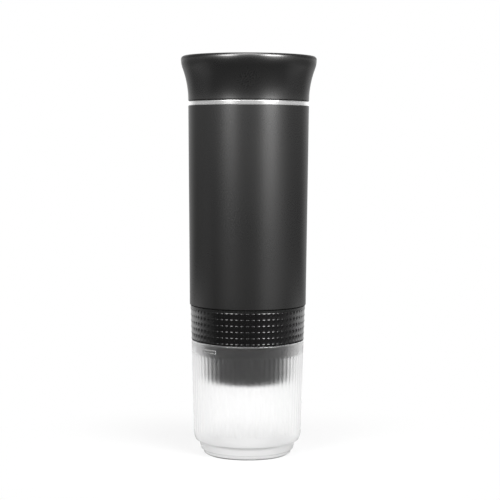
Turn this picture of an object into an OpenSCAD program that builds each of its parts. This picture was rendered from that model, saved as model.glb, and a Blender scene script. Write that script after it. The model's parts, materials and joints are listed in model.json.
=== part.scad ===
// Portable electric espresso maker: a clear cup, a brew head, a powered body and a lid on one upright axis.
// The origin is the middle of the cup's foot. +Z is up, -Y is the front, the controls are on the +Y side.
// The cup, the brew head, the body and the lid are screwed together, each seam with its own flat seal.

/* [Heights] */
// Height of the cup up to its rim
cup_h = 68.7; // [60:0.1:90]
// Height of the grip band, from the cup's rim up to the seam with the body
band_h = 21.4; // [20:0.1:32]
// Height of the body shell
shell_h = 119.9; // [112:0.1:150]
// Height of the bright ring under the lid
ring_h = 2.8; // [1.5:0.1:5]
// Height of the lid
lid_h = 26.7; // [22:0.1:40]
// Shadow gap that stays open at each screwed seam
seat_gap = 0.3; // [0.2:0.05:0.6]

/* [Diameters] */
// Diameter of the body shell at its lower edge, which all the other diameters follow
shell_bottom_d = 70.6; // [66:0.1:80]
// How much wider the body shell is at its upper edge
shell_flare = 2.2; // [0:0.1:5]
// How far the lid's lip stands out past the shell's upper edge
lid_overhang = 4.43; // [3:0.01:8]
// Step from the shell's lower edge in to the grip band
band_step = 0.5; // [0.3:0.05:1.2]
// How much narrower the grip band is at its lower edge
band_taper = 1.4; // [0:0.1:2]
// How far the cup's rim stands out past the grip band's lower edge
cup_rim_step = 0; // [0:0.05:0.4]
// How much narrower the cup is just above its shoulder than at its rim
cup_taper = 2.8; // [0.5:0.1:5]
// Step from the cup's side in to its foot
foot_step = 3.7; // [2.5:0.1:5]
// How far the foot draws in from its widest line to the edge line near the floor
foot_draw = 1.1; // [0.5:0.1:2]
// How far the foot draws in from that edge line to the circle that the cup stands on
stand_draw = 1.7; // [1:0.1:4]

/* [Walls] */
// Wall of the cup at its rim
cup_wall = 2.5; // [2.1:0.1:3]
// Wall of the cup just above its shoulder
cup_base_wall = 3.3; // [2.5:0.1:5]
// Thickness of the cup's floor
cup_floor_t = 4.5; // [3:0.1:6]
// Wall of the grip sleeve at its thinner end
sleeve_wall = 1.45; // [1:0.05:2]
// Wall of the body shell
shell_wall = 1.5; // [1:0.1:2]
// Wall of the collar that screws on to the brew head
collar_wall = 1.9; // [1.4:0.1:2.6]
// Wall of the collar that the lid screws into
tank_collar_wall = 2.7; // [2:0.1:3.5]
// Wall of the three threaded spigots
spigot_wall = 2.2; // [1.6:0.1:3]
// Wall of the lid
lid_wall = 2.2; // [1.5:0.1:3]
// Wall of the steel tank
tank_wall = 1; // [0.5:0.1:2]

/* [Threads and seals] */
// Length of each threaded spigot
spigot_h = 8.6; // [8.6:0.1:10]
// Radial room between a spigot and its socket
thread_room = 1.7; // [1.4:0.1:2]
// Radial clearance at the tip of a thread lug
lug_tip_gap = 0.4; // [0.3:0.05:0.5]
// Clearance between mating lugs along the axis
lug_axial_gap = 0.3; // [0.2:0.05:0.4]
// Height of one thread lug
lug_h = 1.4; // [1:0.1:1.5]
// Arc of one thread lug
lug_arc = 50; // [30:1:52]
// Rise of the thread in one turn
thread_lead = 24; // [16:1:25]
// Number of lugs on each side of a seam
lug_count = 3; // [2:1:3]
// Thickness of the three seals
gasket_t = 1.2; // [0.8:0.1:1.5]
// Width of the three seals
gasket_w = 2.6; // [2:0.1:3]

/* [Brew head] */
// Height of the plain flange at the top of the grip band
flange_h = 1.5; // [1.2:0.1:4]
// Step from the cup's spigot in to the outlet shroud
shroud_step = 3.9; // [3:0.1:6]
// Height of the outlet shroud
shroud_h = 18.2; // [10:0.1:22]
// Width of the coffee basket's rim
basket_rim_w = 2; // [1.5:0.1:3]
// Thickness of the basket, screens and other sheet metal
sheet_t = 1.2; // [0.8:0.1:1.5]
// Diameter of the holes in the basket and the screens
screen_hole_d = 1.4; // [1:0.1:1.8]
// Number of hole rings in the basket and the screens
screen_rings = 3; // [2:1:3]
// Diameter of the spout
spout_d = 10; // [7:0.1:14]

/* [Body] */
// Height of the boiler
boiler_h = 10; // [7:0.1:12]
// Diameter of one battery cell
cell_d = 18.4; // [14:0.1:19]
// Length of one battery cell
cell_h = 65; // [60:0.1:68]
// Room between the battery cells and the body's inside
cell_room = 2; // [1:0.1:3]
// Gap between the battery cells and the pump motor
cell_gap = 1; // [0.5:0.1:2]
// Height of the pump head
pump_h = 14; // [12:0.1:18]
// Length of the motor
motor_h = 27; // [20:0.1:32]
// Diameter of the motor shaft
shaft_d = 2; // [1.5:0.1:3]
// Thickness of the two decks
deck_t = 2; // [1.5:0.1:3]
// Outer diameter of the suction hose
hose_d = 5; // [4:0.1:6]

/* [Controls] */
// Height of the power button above the lower deck
button_height = 33; // [26:0.5:48]
// Diameter of the power button
button_d = 12.2; // [9:0.1:14]
// How far the power button is pressed in
button_travel = 0.8; // [0.5:0.1:1]
// Height of the charging port above the lower deck
port_height = 9; // [8:0.1:12]
// Width of the charging port's cover
port_cover_w = 13; // [11:0.1:15]
// Height of the charging port's cover
port_cover_h = 9; // [7:0.1:10]

/* [Hidden] */
$fn = 96;
// Smoothness of arcs that are drawn point by point
arc_steps = 10;
// Overlap that carries a cut past the face it opens
cut = 1;
// Sliding clearance between pieces of the body that slip into each other
fit = 0.3;
// Radial clearance of a shaft or a pin in its bore
running_fit = 0.05;

// Levels of the seams, from the floor up
z_cup = cup_h;
z_head = z_cup + band_h;
z_shell = z_head + seat_gap;
z_shell_top = z_shell + shell_h;
z_ring = z_shell_top + ring_h;
z_lid = z_ring + seat_gap;
z_lid_top = z_lid + lid_h;

// Diameters that follow the shell's lower edge, up to the lid and down to the foot
shell_top_d = shell_bottom_d + shell_flare;
lid_lip_d = shell_top_d + 2 * lid_overhang;
band_top_d = shell_bottom_d - 2 * band_step;
band_bottom_d = band_top_d - band_taper;
cup_rim_d = band_bottom_d + 2 * cup_rim_step;
cup_shoulder_d = cup_rim_d - cup_taper;
foot_d = cup_shoulder_d - 2 * foot_step;
foot_edge_d = foot_d - 2 * foot_draw;
stand_d = foot_edge_d - 2 * stand_draw;

// Radius of the body's outside at a height, and the room that stays inside its lower end
function shell_r(z) = shell_bottom_d / 2 + (shell_top_d - shell_bottom_d) / 2 * (z - z_shell) / shell_h;
function shell_room(z) = shell_r(z) - shell_wall;
room_r = shell_bottom_d / 2 - shell_wall - fit;

// Thread of the cup, of the body and of the lid: socket and spigot radius of each
cup_socket_r = cup_rim_d / 2 - cup_wall;
cup_spigot_r = cup_socket_r - thread_room;
body_socket_r = room_r - collar_wall;
body_spigot_r = body_socket_r - thread_room;
collar_clear = 0.1;
tank_collar_r = shell_room(z_ring - spigot_h) - fit - collar_clear;
lid_socket_r = tank_collar_r - tank_collar_wall;
lid_spigot_r = lid_socket_r - thread_room;
lug_sink = 0.5;
lug_bevel = 0.3;
lug_margin = 0.4;
lug_steps = 10;
lug_shift = lug_h + lug_axial_gap;
z_cup_lugs = z_cup + seat_gap - spigot_h + lug_margin;
z_body_lugs = z_head + gasket_t + lug_margin;
z_lid_lugs = z_lid - spigot_h + lug_margin;
gasket_inset = 0.6;
// The head's seal rises past the lugs of the spigot that it lies round
lug_pass = 0.3;
head_gasket_inset = thread_room - lug_tip_gap + lug_pass;

// Cup: foot, notch above it, shoulder arc and inner corner
foot_edge_z = 2.6;
foot_top_z = 4.8;
notch_z = 6.5;
notch_depth = 1;
shoulder_z = 6.8;
shoulder_top_z = 13;
shoulder_arc_r = 10;
// The inner corner is round enough to leave a full wall behind the notch
notch_wall = 1.2;
cup_inner_r = cup_shoulder_d / 2 - cup_base_wall;
corner_out = cup_inner_r - (foot_d / 2 - notch_depth - notch_wall);
corner_up = notch_z - cup_floor_t;
cup_corner_r = corner_out + corner_up + sqrt(2 * corner_out * corner_up);
socket_clear = 1.2;

// Brew head, from its spigot's lower edge up
z_spigot = z_cup + seat_gap - spigot_h;
head_floor_t = 2;
shroud_recess = 1.1;
z_floor = z_spigot + shroud_recess;
z_floor_top = z_floor + head_floor_t;
head_wall_r = band_bottom_d / 2 - sleeve_wall - fit;
head_bore_r = body_spigot_r - spigot_wall;
basket_fit = 0.4;
basket_rim_r = head_bore_r - basket_fit;
basket_r = basket_rim_r - basket_rim_w;
ledge_drop = 0.6;
z_ledge = z_head - flange_h - ledge_drop;
drip_gap = 1.3;
spout_flange_t = sheet_t;
spout_flange_w = 4;
spout_wall = 2.5;
spout_drop = 12;
z_basket = z_floor_top + spout_flange_t + drip_gap;
screen_pitch = 5.2;
shroud_d = 2 * (cup_spigot_r - shroud_step);
shroud_wall = 2;
shroud_roll_r = 4;
shroud_flange_t = 2;
shroud_flange_w = 10;
shroud_flange_r = shroud_d / 2 - shroud_wall - shroud_flange_w;
shroud_screw_r = shroud_flange_r + shroud_flange_w / 2;
shroud_screw_angles = [30, 150, 270];
screw_d = 2.4;
screw_head_d = 5;
screw_head_h = 1.6;
screw_bite = 1.4;

// Body, from the bulkhead up to the tank
z_bulkhead = z_head + spigot_h + socket_clear;
bulkhead_t = 3;
z_boiler = z_bulkhead + bulkhead_t;
z_heater = z_boiler + boiler_h;
heater_t = 1.5;
z_lower_deck = z_heater + heater_t;
z_inner = z_lower_deck + deck_t;
strap_t = 0.5;
z_cells = z_inner + strap_t;
z_cells_top = z_cells + cell_h;
z_upper_deck = z_cells_top + strap_t;
z_tank = z_upper_deck + deck_t;
z_collar = z_ring - spigot_h - socket_clear;

// Shower screen under the bulkhead
shower_clear = 3.8;
shower_r = head_bore_r - shower_clear;
boss_h = 3;
boss_r = shower_r - sheet_t - fit;
spread_gap = 1;
z_shower = z_bulkhead - boss_h - spread_gap - sheet_t;
shower_screw_d = 4;
shower_screw_head_d = 9;
port_d = 3;
port_r = 9;
port_count = 3;

// Boiler, heater and the legs that carry the lower deck past them
post_d = 4;
post_inset = 1.2;
post_r = room_r - post_d / 2 - post_inset;
leg_angles = [-30, 90, 210];
post_angles = [-30, 210];
boiler_gap = 1;
boiler_r = post_r - post_d / 2 - boiler_gap;
boiler_wall = 1.5;
feed_d = 5;
feed_bore = 2.5;
// The thermostat stands between the feed pipe and the heater ring
thermostat_d = 8;
thermostat_gap_in = 2;
thermostat_gap_out = 1.5;
thermostat_y = -(feed_d / 2 + thermostat_gap_in + thermostat_d / 2);
heater_in_r = thermostat_d / 2 - thermostat_y + thermostat_gap_out;
heater_inset = 5;
heater_out_r = boiler_r - heater_inset;

// Cells round the pump, which fills the middle that they leave, with the back kept for the board
cell_r = room_r - cell_room - cell_d / 2;
motor_d = 2 * (cell_r - cell_d / 2 - cell_gap);
cell_angles = [-90, 30, 150];
strap_w = 8;
strap_start = 130;
strap_arc = 280;

// Pump cavity with the plate that wobbles in it
pump_floor_t = 5;
pump_top_t = 1.5;
pump_wall = 3.3;
cavity_r = motor_d / 2 - pump_wall;
plate_room = 2.5;
plate_r = cavity_r - plate_room;
plate_t = 3;
plate_offset = 1;
plate_lift = 1;
z_pump_top = z_inner + pump_h;
shaft_in_motor = 10;
nipple_reach = 3;
nipple_root = cavity_r + 1;
z_nipple = z_inner + 8;

// Suction hose down the gap between two cells
hose_angle = -30;
hose_inset = 2;
hose_r = cell_r - hose_inset;
hose_drop = 6;
elbow_extra = 0.4;
fitting_d = 6;
fitting_drop = 7;
fitting_flange_w = 2;
fitting_bore = 3;

// Circuit board behind the cells, with the switch and the socket on its back
board_gap = 2.8;
board_t = 1.6;
board_y = cell_r * sin(cell_angles[1]) + cell_d / 2 + board_gap;
board_back = board_y + board_t;
board_w = 32;
z_button = z_inner + button_height;
z_port = z_inner + port_height;
controls_proud = 0.4;
window_fit = 0.15;
light_ring_w = 1.6;
light_ring_r = button_d / 2 + fit + light_ring_w;
button_depth = 3.5;
button_back = shell_room(z_button) - button_depth;
button_flange_t = 0.8;
button_flange_w = 1.1;
switch_size = 6;
switch_plunger_d = 3.5;
switch_gap = 0.1;
switch_tip = button_back - button_travel - switch_gap;
// The switch's body fills this share of the way to its plunger's tip
switch_share = 0.7;
switch_t = (switch_tip - board_back) * switch_share;
led_size = 1.6;
led_t = 1;
led_angles = [0, 180];

// Charging port: socket, bezel in the shell's window, and the cover on its pin
usb_w = 8.94;
usb_h = 3.2;
usb_slot_w = 8.3;
usb_slot_h = 2.4;
usb_slot_depth = 6;
usb_setback = 0.5;
usb_front = shell_room(z_port) - usb_setback;
bezel_rim = 2.5;
bezel_depth = 2;
barrel_r = 0.9;
pin_r = 0.5;
pin_reach = 1.5;
hinge_inset = 0.8;
hinge_y = shell_r(z_port) + controls_proud - hinge_inset;
hinge_z = z_port - port_cover_h / 2 + barrel_r;
cover_inset = 0.8;
cover_back = hinge_y - cover_inset;
pocket_floor = hinge_y - barrel_r - fit;

// Lid: floor, flare with the rounded lip, top plate in its recess
lid_floor_t = 3.2;
lip_r = 2.5;
lip_side_r = 15.4;
lip_centre_r = lid_lip_d / 2 - lip_r;
lip_rise = lid_h - lip_r;
// The flare starts upright at the lid's base and runs on into the rounder side of the lip
flare_r = (pow(lip_rise, 2) / lid_overhang + lid_overhang) / 2 - lip_side_r;
flare_turn = asin(lip_rise / (flare_r + lip_side_r));
flare_end = flare_r * sin(flare_turn);
function lid_step(h) = h < flare_end
    ? flare_r - sqrt(pow(flare_r, 2) - pow(h, 2))
    : lid_overhang - lip_side_r + sqrt(pow(lip_side_r, 2) - pow(lip_rise - h, 2));
liner_t = 2;
liner_flange_w = 3.4;
z_liner = z_lid + lid_floor_t;
plate_recess = 1.2;
lid_plate_t = 1.6;
lid_rim_w = 1.5;
lid_plate_r = lip_centre_r - lid_rim_w;
lid_ledge_w = 2;
lid_ledge_t = 1.6;
z_lid_plate = z_lid_top - plate_recess - lid_plate_t;
valve_d = 4;
valve_cap_d = 8;
valve_cap_t = 1;
valve_head_d = 6;
ring_inset = 0.2;

// Rounded lower edge of the shell
shell_edge_r = 0.5;

// Points of an arc about a centre in the profile plane, from one angle to another
function arc_points(centre, r, from, to) =
    [for (i = [0 : arc_steps]) centre + r * [cos(from + (to - from) * i / arc_steps),
                                             sin(from + (to - from) * i / arc_steps)]];

// Plain tube or disc between two levels
module tube(r_out, r_in, z_low, z_high) {
    translate([0, 0, z_low])
        difference() {
            cylinder(r = r_out, h = z_high - z_low);
            if (r_in > 0)
                translate([0, 0, -cut]) cylinder(r = r_in, h = z_high - z_low + 2 * cut);
        }
}

// Plain rod between two levels at a place
module rod(r, z_low, z_high, place = [0, 0]) {
    translate([place[0], place[1], z_low]) cylinder(r = r, h = z_high - z_low);
}

// Point on a circle about the axis
function on_circle(r, angle) = [r * cos(angle), r * sin(angle)];

// One helical thread lug from its root in the wall to its bevelled tip
module helical_lug(r_root, r_tip, z_start, angle) {
    section = [[r_root, 0], [r_tip, lug_bevel], [r_tip, lug_h - lug_bevel], [r_root, lug_h]];
    points = [
        for (i = [0 : lug_steps], corner = section)
            let (turn = lug_arc * i / lug_steps)
            [corner[0] * cos(angle + turn), corner[0] * sin(angle + turn),
             z_start + corner[1] + thread_lead * turn / 360]
    ];
    sides = [
        for (i = [0 : lug_steps - 1], k = [0 : 3], half = [0, 1])
            let (a = 4 * i + k, b = 4 * i + (k + 1) % 4)
            half == 0 ? [a, a + 4, b] : [b, a + 4, b + 4]
    ];
    last = 4 * lug_steps;
    ends = [[0, 1, 2], [0, 2, 3], [last, last + 2, last + 1], [last, last + 3, last + 2]];
    counter_clockwise = concat(sides, ends);
    clockwise = [for (f = counter_clockwise) [f[0], f[2], f[1]]];
    polyhedron(points, r_tip > r_root ? clockwise : counter_clockwise);
}

// Full set of lugs standing out of a spigot or into a socket
module thread_lugs(r_root, r_tip, z_start) {
    for (i = [0 : lug_count - 1])
        helical_lug(r_root, r_tip, z_start, i * 360 / lug_count);
}

// Flat seal that lies on a rim, round the spigot that passes through it
module seal(spigot_r, z, inset = gasket_inset) {
    tube(spigot_r + gasket_inset + gasket_w, spigot_r + inset, z, z + gasket_t);
}
function seal_room(spigot_r) = spigot_r + gasket_inset + gasket_w + fit;

// Rings of holes about the axis, drilled along it
module screen_holes(z_low, z_high, first_ring) {
    for (ring = [first_ring : screen_rings], i = [0 : max(6 * ring, 1) - 1])
        rod(screen_hole_d / 2, z_low, z_high, on_circle(ring * screen_pitch, i * 360 / max(6 * ring, 1)));
}

// The body's outside as a solid, grown or shrunk by an amount
module shell_solid(grow) {
    translate([0, 0, z_shell])
        cylinder(r1 = shell_bottom_d / 2 + grow, r2 = shell_top_d / 2 + grow, h = shell_h);
}

// Box that is centred on X, between two depths behind the axis and two levels
module back_box(width, y_near, y_far, z_low, z_high) {
    translate([-width / 2, y_near, z_low]) cube([width, y_far - y_near, z_high - z_low]);
}

// Round bar along Y behind the axis
module back_rod(r, y_near, y_far, z) {
    translate([0, y_near, z]) rotate([-90, 0, 0]) cylinder(r = r, h = y_far - y_near);
}

// Clear cup with its stepped foot, round shoulder and threaded mouth
module cup() {
    shoulder_centre = [cup_shoulder_d / 2 - shoulder_arc_r, shoulder_top_z];
    shoulder_from = -asin((shoulder_top_z - shoulder_z) / shoulder_arc_r);
    corner_centre = [cup_inner_r - cup_corner_r, cup_floor_t + cup_corner_r];
    outside = concat(
        [[0, 0], [stand_d / 2, 0], [foot_edge_d / 2, foot_edge_z], [foot_d / 2, foot_top_z],
         [foot_d / 2 - notch_depth, notch_z]],
        arc_points(shoulder_centre, shoulder_arc_r, shoulder_from, 0),
        [[cup_rim_d / 2, z_cup]]
    );
    inside = concat(
        [[cup_socket_r, z_cup], [cup_socket_r, z_spigot - socket_clear]],
        arc_points(corner_centre, cup_corner_r, 0, -90),
        [[0, cup_floor_t]]
    );
    color("whitesmoke")
        union() {
            rotate_extrude() polygon(concat(outside, inside));
            thread_lugs(cup_socket_r + lug_sink, cup_spigot_r + lug_tip_gap, z_cup_lugs + lug_shift);
        }
}

// Seal between the cup's rim and the brew head
module cup_gasket() {
    color("dimgray") seal(cup_spigot_r, z_cup);
}

// Brew head: spigot into the cup, wall behind the grip sleeve, flange, and spigot into the body
module brew_head() {
    outside = [
        [cup_spigot_r, z_spigot], [cup_spigot_r, z_cup + gasket_t], [head_wall_r, z_cup + gasket_t],
        [head_wall_r, z_head - flange_h], [band_top_d / 2, z_head - flange_h], [band_top_d / 2, z_head],
        [body_spigot_r, z_head], [body_spigot_r, z_head + spigot_h]
    ];
    inside = [
        [head_bore_r, z_head + spigot_h], [head_bore_r, z_ledge], [basket_r + basket_fit, z_ledge],
        [basket_r + basket_fit, z_floor_top], [spout_d / 2 + running_fit, z_floor_top],
        [spout_d / 2 + running_fit, z_floor], [shroud_d / 2 + fit, z_floor], [shroud_d / 2 + fit, z_spigot]
    ];
    color([0.12, 0.12, 0.13])
        difference() {
            union() {
                rotate_extrude() polygon(concat(outside, inside));
                thread_lugs(cup_spigot_r - lug_sink, cup_socket_r - lug_tip_gap, z_cup_lugs);
                thread_lugs(body_spigot_r - lug_sink, body_socket_r - lug_tip_gap, z_body_lugs + lug_shift);
            }
            for (angle = shroud_screw_angles)
                rod(screw_d / 2 + running_fit, z_floor - cut, z_floor + screw_bite + running_fit,
                    on_circle(shroud_screw_r, angle));
        }
}

// Gloss sleeve of the grip band, under the head's flange
module grip_sleeve() {
    top_z = z_head - flange_h;
    slope = (band_top_d - band_bottom_d) / 2 / (band_h - seat_gap);
    color([0.05, 0.05, 0.05])
        rotate_extrude()
            polygon([
                [seal_room(cup_spigot_r), z_cup + seat_gap], [band_bottom_d / 2, z_cup + seat_gap],
                [band_top_d / 2 - slope * flange_h, top_z], [head_wall_r + fit, top_z],
                [head_wall_r + fit, z_cup + gasket_t], [seal_room(cup_spigot_r), z_cup + gasket_t]
            ]);
}

// Skirt round the spout, with an inner flange that is screwed to the head's floor
module outlet_shroud() {
    roll = [shroud_d / 2 - shroud_roll_r, z_floor - shroud_h + shroud_roll_r];
    color([0.1, 0.1, 0.1])
        difference() {
            rotate_extrude()
                polygon(concat(
                    arc_points(roll, shroud_roll_r, -90, 0),
                    [
                        [shroud_d / 2, z_floor], [shroud_flange_r, z_floor],
                        [shroud_flange_r, z_floor - shroud_flange_t],
                        [shroud_d / 2 - shroud_wall, z_floor - shroud_flange_t]
                    ],
                    arc_points(roll, shroud_roll_r - shroud_wall, 0, -90)
                ));
            for (angle = shroud_screw_angles)
                rod(screw_d / 2 + running_fit, z_floor - shroud_flange_t - cut, z_floor + cut,
                    on_circle(shroud_screw_r, angle));
        }
}

// One of the screws that hold the shroud
module shroud_screw(index) {
    seat = z_floor - shroud_flange_t;
    place = on_circle(shroud_screw_r, shroud_screw_angles[index]);
    color("silver")
        union() {
            rod(screw_head_d / 2, seat - screw_head_h, seat, place);
            rod(screw_d / 2, seat - screw_head_h / 2, z_floor + screw_bite, place);
        }
}

// Spout that hangs through the head's floor
module spout() {
    color([0.08, 0.08, 0.08])
        difference() {
            union() {
                rod(spout_d / 2, z_floor - spout_drop, z_floor_top + spout_flange_t / 2);
                rod(spout_d / 2 + spout_flange_w, z_floor_top, z_floor_top + spout_flange_t);
            }
            rod(spout_d / 2 - spout_wall, z_floor - spout_drop - cut, z_floor_top + spout_flange_t + cut);
        }
}

// Coffee basket that hangs by its rim, with a perforated floor
module coffee_basket() {
    color("silver")
        difference() {
            rotate_extrude()
                polygon([
                    [0, z_basket], [basket_r, z_basket], [basket_r, z_ledge], [basket_rim_r, z_ledge],
                    [basket_rim_r, z_ledge + sheet_t], [basket_r - sheet_t, z_ledge + sheet_t],
                    [basket_r - sheet_t, z_basket + sheet_t], [0, z_basket + sheet_t]
                ]);
            screen_holes(z_basket - cut, z_basket + sheet_t + cut, 0);
        }
}

// Perforated disc that lies on the basket's rim
module puck_screen() {
    low = z_ledge + sheet_t;
    color("lightgray")
        difference() {
            tube(basket_rim_r, 0, low, low + sheet_t);
            screen_holes(low - cut, low + sheet_t + cut, 0);
        }
}

// Seal between the brew head and the body
module head_gasket() {
    color("dimgray") seal(body_spigot_r, z_head, head_gasket_inset);
}

// Matt tapered body shell with a window for the button and one for the charging port
module outer_shell() {
    edge = arc_points([shell_bottom_d / 2 - shell_edge_r, z_shell + shell_edge_r], shell_edge_r, -90, 0);
    inner_low = shell_bottom_d / 2 - shell_wall;
    inner_high = shell_top_d / 2 - shell_wall;
    color([0.18, 0.18, 0.18])
        difference() {
            rotate_extrude()
                polygon(concat([[inner_low, z_shell]], edge,
                    [[shell_top_d / 2, z_shell_top], [inner_high, z_shell_top]]));
            back_rod(light_ring_r + window_fit, board_back, shell_top_d, z_button);
            back_box(port_cover_w + 2 * (bezel_rim + window_fit), board_back, shell_top_d,
                z_port - port_cover_h / 2 - bezel_rim - window_fit,
                z_port + port_cover_h / 2 + bezel_rim + window_fit);
        }
}

// Collar that screws on to the brew head, closed by the bulkhead with the shower boss
module base_collar() {
    low = z_head + gasket_t;
    color([0.2, 0.2, 0.22])
        difference() {
            union() {
                rotate_extrude()
                    polygon([
                        [body_socket_r, low], [room_r, low], [room_r, z_boiler], [0, z_boiler],
                        [0, z_bulkhead - boss_h], [boss_r, z_bulkhead - boss_h], [boss_r, z_bulkhead],
                        [body_socket_r, z_bulkhead]
                    ]);
                thread_lugs(body_socket_r + lug_sink, body_spigot_r + lug_tip_gap, z_body_lugs);
            }
            rod(shower_screw_d / 2 + running_fit, z_bulkhead - boss_h - cut, z_bulkhead + bulkhead_t / 2);
            for (i = [0 : port_count - 1])
                rod(port_d / 2, z_bulkhead - boss_h - cut, z_boiler + cut,
                    on_circle(port_r, i * 360 / port_count));
        }
}

// Perforated dish that spreads the water
module shower_screen() {
    color("silver")
        difference() {
            rotate_extrude()
                polygon([
                    [0, z_shower], [shower_r, z_shower], [shower_r, z_bulkhead],
                    [shower_r - sheet_t, z_bulkhead], [shower_r - sheet_t, z_shower + sheet_t],
                    [0, z_shower + sheet_t]
                ]);
            screen_holes(z_shower - cut, z_shower + sheet_t + cut, 2);
            rod(shower_screw_d / 2 + running_fit, z_shower - cut, z_shower + sheet_t + cut);
        }
}

// Screw in the middle of the shower screen
module shower_screw() {
    color("gainsboro")
        union() {
            rod(shower_screw_head_d / 2, z_shower - screw_head_h, z_shower);
            rod(shower_screw_d / 2, z_shower - screw_head_h / 2, z_bulkhead + bulkhead_t / 2 - running_fit);
        }
}

// Flat boiler over the bulkhead, open to the bulkhead's ports and to the feed pipe
module boiler() {
    color("lightsteelblue")
        difference() {
            tube(boiler_r, 0, z_boiler, z_heater);
            rod(boiler_r - boiler_wall, z_boiler + boiler_wall, z_heater - boiler_wall);
            rod(feed_bore / 2, z_heater - boiler_wall - cut, z_heater + cut);
            for (i = [0 : port_count - 1])
                rod(port_d / 2, z_boiler - cut, z_boiler + boiler_wall + cut,
                    on_circle(port_r, i * 360 / port_count));
        }
}

// Ring heater between the boiler and the lower deck
module heater_ring() {
    color("peru") tube(heater_out_r, heater_in_r, z_heater, z_lower_deck);
}

// Thermostat button on the boiler
module thermostat() {
    color("ivory") rod(thermostat_d / 2, z_heater, z_lower_deck, [0, thermostat_y]);
}

// Short pipe from the pump down to the boiler
module feed_pipe() {
    color("white") tube(feed_d / 2, feed_bore / 2, z_heater, z_inner);
}

// Deck that carries the cells, the pump and the board, on three legs past the boiler
module lower_deck() {
    color([0.3, 0.3, 0.32])
        difference() {
            union() {
                rod(room_r, z_lower_deck, z_inner);
                for (angle = leg_angles)
                    rod(post_d / 2, z_boiler, z_lower_deck + deck_t / 2, on_circle(post_r, angle));
            }
            rod(feed_d / 2 + fit, z_lower_deck - cut, z_inner + cut);
        }
}

// One of the battery cells round the pump
module battery_cell(index) {
    color("seagreen") rod(cell_d / 2, z_cells, z_cells_top, on_circle(cell_r, cell_angles[index]));
}

// Strap that joins the cells at one end, open at the back for the board
module cell_strap(z) {
    color("silver")
        translate([0, 0, z])
            rotate_extrude(angle = strap_arc, start = strap_start)
                translate([cell_r - strap_w / 2, 0]) square([strap_w, strap_t]);
}

// Pump head with the cavity of the wobble plate and the suction nipple
module pump_head() {
    bore = shaft_d / 2 + running_fit;
    color("darkslategray")
        difference() {
            union() {
                rod(motor_d / 2, z_inner, z_pump_top);
                rotate([0, 0, hose_angle])
                    translate([nipple_root, 0, z_nipple])
                        rotate([0, 90, 0])
                            cylinder(d = hose_d, h = motor_d / 2 + nipple_reach - nipple_root);
            }
            rod(cavity_r, z_inner + pump_floor_t, z_pump_top - pump_top_t);
            rod(bore, z_pump_top - pump_top_t - cut, z_pump_top + cut);
            rod(feed_bore / 2, z_inner - cut, z_inner + pump_floor_t + cut);
        }
}

// Pump motor on the pump head
module pump_motor() {
    color("slategray")
        difference() {
            rod(motor_d / 2, z_pump_top, z_pump_top + motor_h);
            rod(shaft_d / 2 + running_fit, z_pump_top - cut, z_pump_top + shaft_in_motor + running_fit);
        }
}

// Suction hose from the tank fitting, round the motor and down to the pump's nipple
module suction_hose() {
    side = on_circle(hose_r, hose_angle);
    z_start = z_tank - fitting_drop;
    z_over = z_start - hose_drop;
    nipple_end = motor_d / 2 + nipple_reach;
    color("lightgray")
        union() {
            rod(hose_d / 2, z_over, z_start);
            translate([0, 0, z_over]) sphere(r = hose_d / 2 + elbow_extra);
            rotate([0, 0, hose_angle])
                translate([0, 0, z_over]) rotate([0, 90, 0]) cylinder(d = hose_d, h = hose_r);
            translate([side[0], side[1], z_over]) sphere(r = hose_d / 2 + elbow_extra);
            rod(hose_d / 2, z_nipple, z_over, side);
            translate([side[0], side[1], z_nipple]) sphere(r = hose_d / 2 + elbow_extra);
            rotate([0, 0, hose_angle])
                translate([nipple_end, 0, z_nipple]) rotate([0, 90, 0])
                    cylinder(d = hose_d, h = hose_r - nipple_end);
        }
}

// One of the posts between the two decks
module chassis_post(index) {
    color("gray") rod(post_d / 2, z_inner, z_upper_deck, on_circle(post_r, post_angles[index]));
}

// Circuit board standing between the decks
module main_board() {
    color("darkgreen") back_box(board_w, board_y, board_back, z_inner, z_upper_deck);
}

// Charging socket on the back of the board
module usb_socket() {
    color("silver")
        difference() {
            back_box(usb_w, board_back, usb_front, z_port - usb_h / 2, z_port + usb_h / 2);
            back_box(usb_slot_w, usb_front - usb_slot_depth, usb_front + cut,
                z_port - usb_slot_h / 2, z_port + usb_slot_h / 2);
        }
}

// Push switch behind the power button
module push_switch() {
    color("dimgray")
        union() {
            back_box(switch_size, board_back, board_back + switch_t,
                z_button - switch_size / 2, z_button + switch_size / 2);
            back_rod(switch_plunger_d / 2, board_back + switch_t / 2, switch_tip, z_button);
        }
}

// Lights on the board that shine into the ring round the button
module indicator_lights() {
    color("white")
        for (angle = led_angles)
            back_box_at(light_ring_r * cos(angle), led_size, led_t);
}

// Small square block on the back of the board, beside the button
module back_box_at(x, size, depth) {
    translate([x, 0, 0])
        back_box(size, board_back, board_back + depth, z_button - size / 2, z_button + size / 2);
}

// Light ring that frames the power button
module light_ring() {
    near = button_back + button_flange_t + fit;
    color("white")
        intersection() {
            difference() {
                back_rod(light_ring_r, near, shell_top_d, z_button);
                back_rod(button_d / 2 + fit, near - cut, shell_top_d + cut, z_button);
            }
            shell_solid(controls_proud);
        }
}

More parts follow.
